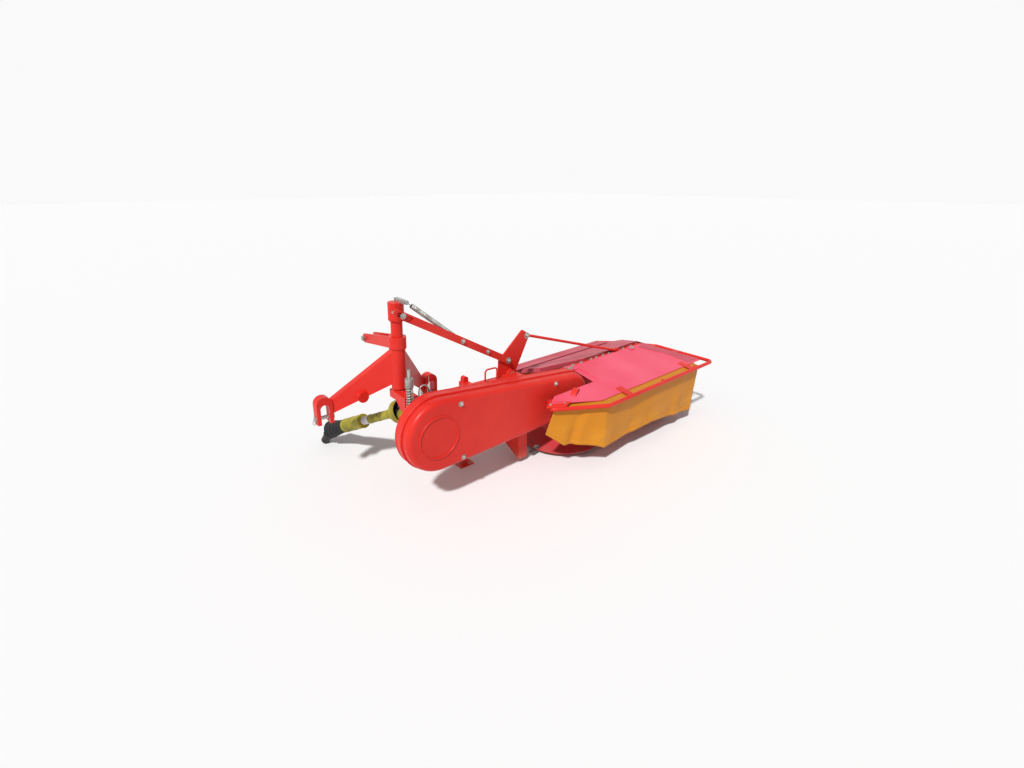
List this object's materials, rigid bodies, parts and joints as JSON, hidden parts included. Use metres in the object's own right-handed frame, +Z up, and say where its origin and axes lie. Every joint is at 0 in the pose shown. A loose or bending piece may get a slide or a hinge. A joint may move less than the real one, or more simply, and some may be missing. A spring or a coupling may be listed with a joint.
{
  "type": "drum mower",
  "caption": "Rear mounted drum mower with a belt drive in a long guard, a hooded cutter with a cloth curtain, a swing post headstock and a drive shaft.",
  "frame": {"origin": "centre of the bounding box at ground level", "axes": "+X out along the cutter, to the right of travel; +Y forward to the tractor; +Z up"},
  "size_m": [3.1348, 1.7848, 1.3237],
  "materials": {
    "red_paint": "gloss paint, weathered",
    "curtain_cloth": "coated tarpaulin",
    "hood_paint": "faded red paint",
    "yellow_plastic": "moulded plastic",
    "dark_steel": "dark oiled steel",
    "zinc_steel": "zinc plated",
    "band_plastic": "smooth band",
    "black_plastic": "moulded plastic"
  },
  "bodies": {
    "frame": {"belt_guard": "red_paint", "guard_back_plate": "red_paint", "main_beam": "red_paint", "guard_struts": "red_paint", "hinge_fork": "red_paint", "post_arm": "red_paint", "swing_post": "red_paint", "post_cap": "red_paint", "post_pegs": "zinc_steel", "input_housing": "red_paint", "input_yoke": "dark_steel", "tension_rod": "zinc_steel", "tension_spring": "zinc_steel", "grab_handle": "red_paint", "skid_shoe": "red_paint", "stand_socket": "red_paint", "relief_spring": "zinc_steel", "input_shield": "yellow_plastic"},
    "headstock": {"hitch_sleeve": "red_paint", "hitch_leg_left": "red_paint", "hitch_leg_right": "red_paint", "lower_clevises": "red_paint", "lower_pins": "zinc_steel", "top_link_cheeks": "red_paint"},
    "stand": {"parking_stand": "red_paint"},
    "lever": {"float_lever": "red_paint"},
    "link": {"float_link": "red_paint"},
    "rod": {"tie_rod": "red_paint"},
    "cutter": {"gear_beam": "red_paint", "drum_necks": "red_paint", "gearbox": "red_paint", "hood_rear_sheet": "hood_paint", "hood_front_sheet": "hood_paint", "hood_end_sheets": "hood_paint", "hood_rim": "red_paint", "hood_straps": "red_paint", "curtain_rear": "curtain_cloth", "curtain_right": "curtain_cloth", "curtain_front": "curtain_cloth", "rod_bracket": "red_paint"},
    "left_drum": {"drum_left": "red_paint", "knives_left": "dark_steel"},
    "right_drum": {"drum_right": "red_paint", "knives_right": "dark_steel"},
    "left_dish": {"slide_dish_left": "dark_steel"},
    "right_dish": {"slide_dish_right": "dark_steel"},
    "shaft": {"shaft_inner_yoke": "dark_steel", "shaft_cone": "yellow_plastic", "shaft_tube": "yellow_plastic", "shaft_band": "band_plastic", "shaft_outer_tube": "yellow_plastic", "shaft_bell": "black_plastic", "shaft_outer_yoke": "dark_steel"},
    "end_yoke": {"shaft_end_yoke": "dark_steel"}
  },
  "joints": [
    {"name": "swing", "type": "hinge", "parent": "frame", "child": "headstock", "pos_m": [-1.072, -0.0464, 0.83729], "axis": [-0.0506, 0, -0.9987], "range_deg": [-90, 0]},
    {"name": "cutter_tilt", "type": "hinge", "parent": "frame", "child": "cutter", "pos_m": [0.05136, -0.2564, 0.48], "axis": [0, -1, 0], "range_deg": [-3, 15]},
    {"name": "lever_swing", "type": "hinge", "parent": "frame", "child": "lever", "pos_m": [-0.22, -0.1704, 0.63793], "axis": [0, -1, 0], "range_deg": [-4.36, 19.81], "deforming": ["relief_spring"]},
    {"name": "rod_pivot", "type": "hinge", "parent": "lever", "child": "rod", "pos_m": [-0.04504, -0.1424, 0.90943], "axis": [0, -1, 0], "range_deg": [-9.38, 2.28]},
    {"name": "link_pivot", "type": "hinge", "parent": "lever", "child": "link", "pos_m": [-0.24105, -0.1854, 0.75615], "axis": [0, -1, 0], "range_deg": [-21.6, 4.72]},
    {"name": "drum_left_spin", "type": "hinge", "parent": "cutter", "child": "left_drum", "pos_m": [0.21736, -0.3264, 0.2625], "axis": [0, 0, 1], "continuous": true},
    {"name": "drum_right_spin", "type": "hinge", "parent": "cutter", "child": "right_drum", "pos_m": [1.03236, -0.3264, 0.2625], "axis": [0, 0, 1], "continuous": true},
    {"name": "dish_left_turn", "type": "hinge", "parent": "cutter", "child": "left_dish", "pos_m": [0.21736, -0.3264, 0.1675], "axis": [0, 0, 1], "continuous": true},
    {"name": "dish_right_turn", "type": "hinge", "parent": "cutter", "child": "right_dish", "pos_m": [1.03236, -0.3264, 0.1675], "axis": [0, 0, 1], "continuous": true},
    {"name": "stand_slide", "type": "slide", "parent": "frame", "child": "stand", "axis": [0.0506, 0, 0.9987], "range_m": [-0.05, 0]},
    {"name": "shaft_lift", "type": "hinge", "parent": "frame", "child": "shaft", "pos_m": [-1.07819, -0.0264, 0.53722], "axis": [0.9987, 0, -0.0506], "range_deg": [0, 28]},
    {"name": "yoke_bend", "type": "hinge", "parent": "shaft", "child": "end_yoke", "pos_m": [-1.30342, 0.78473, 0.14196], "axis": [0.9692, 0.197, -0.1479], "range_deg": [0, 60]}
  ],
  "couplings": [
    {"joint": "lever_swing", "follows": "cutter_tilt", "ratio": 1.2874},
    {"joint": "rod_pivot", "follows": "cutter_tilt", "ratio": -0.59198},
    {"joint": "link_pivot", "follows": "cutter_tilt", "ratio": -1.4066},
    {"joint": "drum_right_spin", "follows": "drum_left_spin", "ratio": -1}
  ]
}
